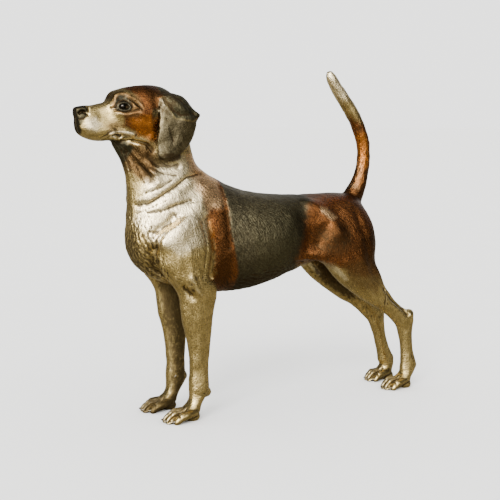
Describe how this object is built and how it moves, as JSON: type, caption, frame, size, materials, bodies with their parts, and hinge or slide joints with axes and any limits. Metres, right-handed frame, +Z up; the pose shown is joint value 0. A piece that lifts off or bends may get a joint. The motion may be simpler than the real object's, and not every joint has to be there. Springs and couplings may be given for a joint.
{
  "type": "bronze dog statue",
  "caption": "Life-size patinated bronze statue of a standing hound with a raised tail and hanging ears, cast whole, that rests on its paws.",
  "frame": {"origin": "the middle of the figure's bounding box, on the ground under the soles", "axes": "+X runs from the nose towards the tail, +Y towards the figure's right side, +Z up"},
  "size_m": [0.9742, 0.2164, 0.8672],
  "materials": {
    "bronze": "polished silver-gold bronze with red-brown and near-black patina, chased hair texture"
  },
  "bodies": {
    "root": {"hound": "bronze"}
  },
  "joints": []
}
